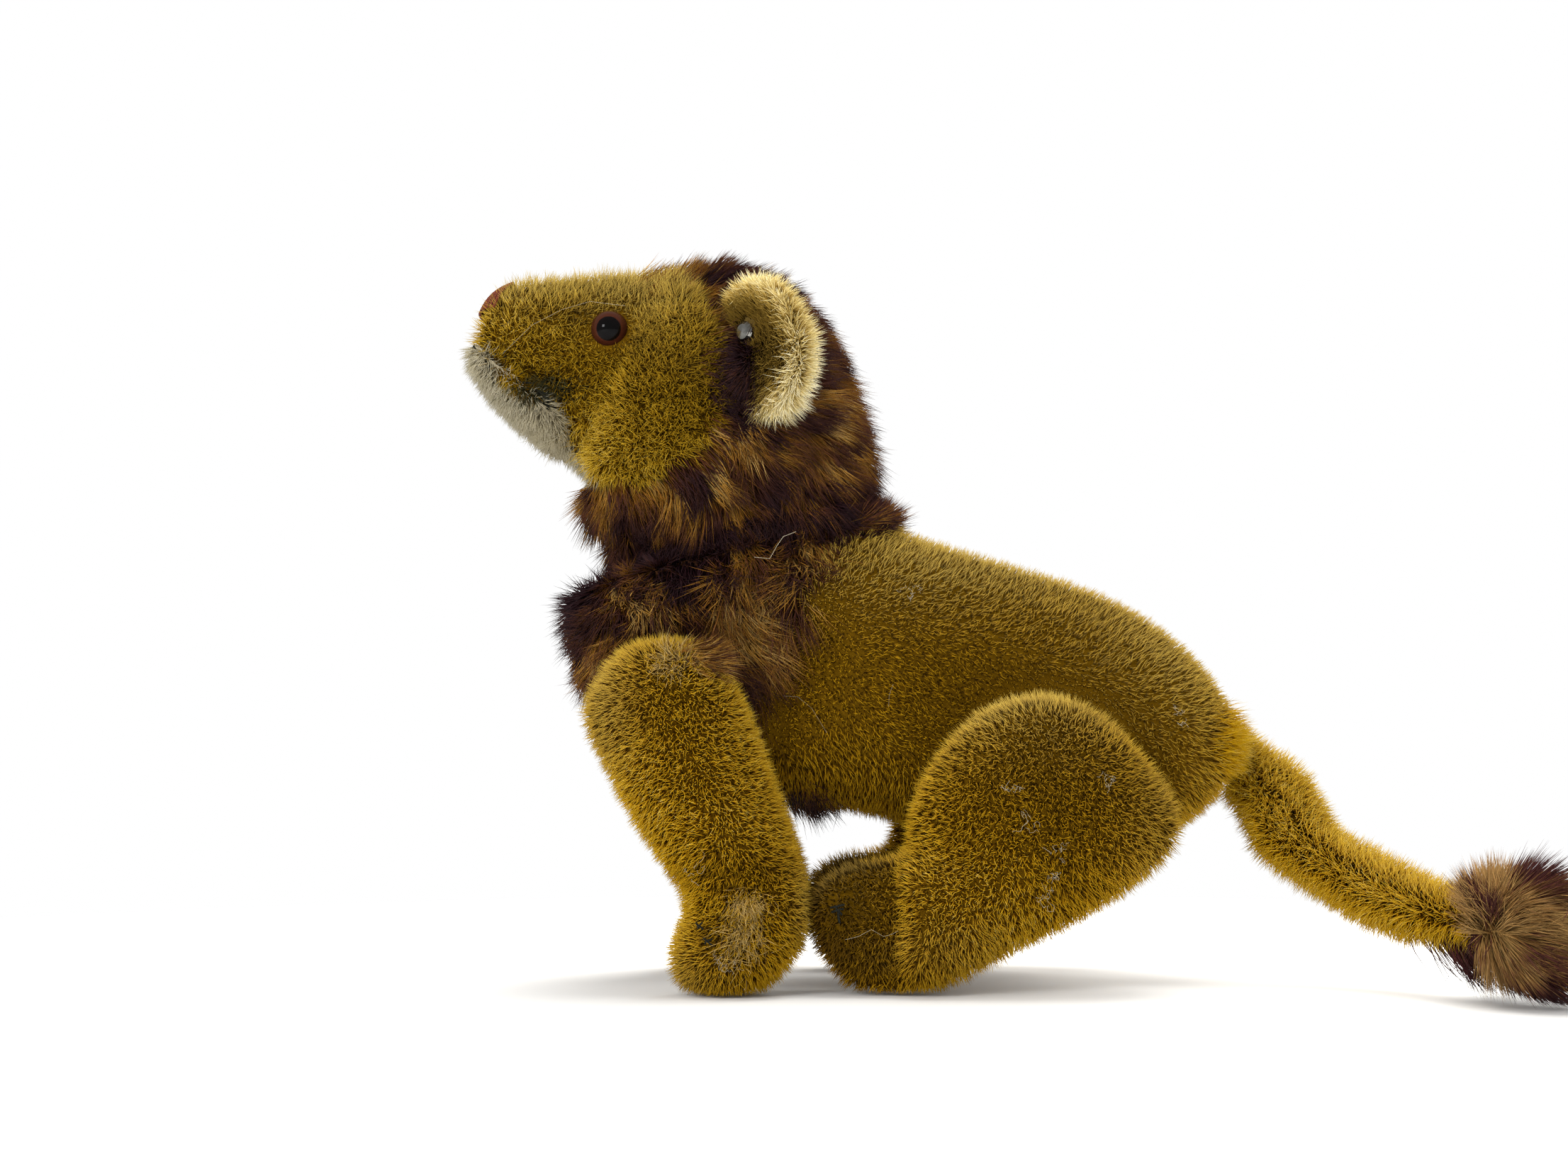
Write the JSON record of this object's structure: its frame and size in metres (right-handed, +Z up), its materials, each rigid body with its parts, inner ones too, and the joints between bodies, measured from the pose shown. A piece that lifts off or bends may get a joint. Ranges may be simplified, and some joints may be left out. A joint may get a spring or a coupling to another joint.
{
  "type": "plush lion",
  "caption": "Seated jointed plush lion in short gold pile with a long dark mane, a turning head, swinging disc-jointed legs and a wired tail that ends in a tassel.",
  "frame": {"origin": "middle of the whole box's underside, at the height of the soles", "axes": "+X from the muzzle to the tail, so the lion faces -X; +Y to the lion's right side; +Z up. The torso's middle plane is at y = 0.01355, because the tail swings to the left."},
  "size_m": [0.2392, 0.116, 0.1694],
  "materials": {
    "gold_pile": "short mohair pile, old gold, faded where it was handled",
    "mane_pile": "long mohair pile, tan at the roots and dark burgundy brown at the tips",
    "white_pile": "short off-white mohair pile",
    "ear_pile": "short pale gold mohair pile",
    "wood_wool": "packed wood wool",
    "hardboard": "raw brown hardboard",
    "steel_wire": "drawn wire and stamped washers, dull",
    "stud_metal": "plain domed stud, worn bright",
    "brown_glass": "glossy, dark pupil in a red-brown iris",
    "rust_thread": "flat stitches of rust-red cotton thread",
    "black_thread": "waxed black cotton thread",
    "pale_thread": "undyed cotton thread"
  },
  "bodies": {
    "torso": {"torso_cover": "gold_pile", "torso_stuffing": "wood_wool", "chest_mane": "mane_pile", "neck_gathering_thread": "pale_thread", "tail_cover": "gold_pile", "tail_stuffing": "wood_wool", "tail_wire": "steel_wire", "tail_tassel": "mane_pile", "neck_body_disc": "hardboard", "neck_body_washer": "steel_wire", "left_fore_leg_body_disc": "hardboard", "left_fore_leg_body_washer": "steel_wire", "left_hind_leg_body_disc": "hardboard", "left_hind_leg_body_washer": "steel_wire", "right_fore_leg_body_disc": "hardboard", "right_fore_leg_body_washer": "steel_wire", "right_hind_leg_body_disc": "hardboard", "right_hind_leg_body_washer": "steel_wire"},
    "head": {"head_cover": "gold_pile", "head_stuffing": "wood_wool", "head_mane": "mane_pile", "chin_inset": "white_pile", "nose_stitching": "rust_thread", "mouth_stitching": "black_thread", "left_eye": "brown_glass", "left_eye_wire": "steel_wire", "right_eye": "brown_glass", "right_eye_wire": "steel_wire", "left_ear": "ear_pile", "right_ear": "ear_pile", "ear_stud": "stud_metal", "ear_stud_washer": "stud_metal", "neck_limb_disc": "hardboard", "neck_limb_washer": "steel_wire", "neck_split_pin": "steel_wire"},
    "left_fore_leg": {"left_fore_leg_cover": "gold_pile", "left_fore_leg_stuffing": "wood_wool", "left_fore_leg_limb_disc": "hardboard", "left_fore_leg_limb_washer": "steel_wire", "left_fore_leg_split_pin": "steel_wire"},
    "right_fore_leg": {"right_fore_leg_cover": "gold_pile", "right_fore_leg_stuffing": "wood_wool", "right_fore_leg_limb_disc": "hardboard", "right_fore_leg_limb_washer": "steel_wire", "right_fore_leg_split_pin": "steel_wire"},
    "left_hind_leg": {"left_hind_leg_cover": "gold_pile", "left_hind_leg_stuffing": "wood_wool", "left_hind_leg_limb_disc": "hardboard", "left_hind_leg_limb_washer": "steel_wire", "left_hind_leg_split_pin": "steel_wire"},
    "right_hind_leg": {"right_hind_leg_cover": "gold_pile", "right_hind_leg_stuffing": "wood_wool", "right_hind_leg_limb_disc": "hardboard", "right_hind_leg_limb_washer": "steel_wire", "right_hind_leg_split_pin": "steel_wire"}
  },
  "joints": [
    {"name": "neck_turn", "type": "hinge", "parent": "torso", "child": "head", "pos_m": [-0.04774, 0.01355, 0.1009], "axis": [-0.2198, 0, 0.9755], "continuous": true},
    {"name": "left_fore_leg_swing", "type": "hinge", "parent": "torso", "child": "left_fore_leg", "pos_m": [-0.06724, -0.0099, 0.0627], "axis": [0, 1, 0], "range_deg": [0, 90]},
    {"name": "right_fore_leg_swing", "type": "hinge", "parent": "torso", "child": "right_fore_leg", "pos_m": [-0.06724, 0.037, 0.0627], "axis": [0, 1, 0], "range_deg": [0, 90]},
    {"name": "left_hind_leg_swing", "type": "hinge", "parent": "torso", "child": "left_hind_leg", "pos_m": [0.01286, -0.0099, 0.0443], "axis": [0, -1, 0], "range_deg": [0, 90]},
    {"name": "right_hind_leg_swing", "type": "hinge", "parent": "torso", "child": "right_hind_leg", "pos_m": [0.01286, 0.037, 0.0443], "axis": [0, -1, 0], "range_deg": [0, 90]}
  ]
}
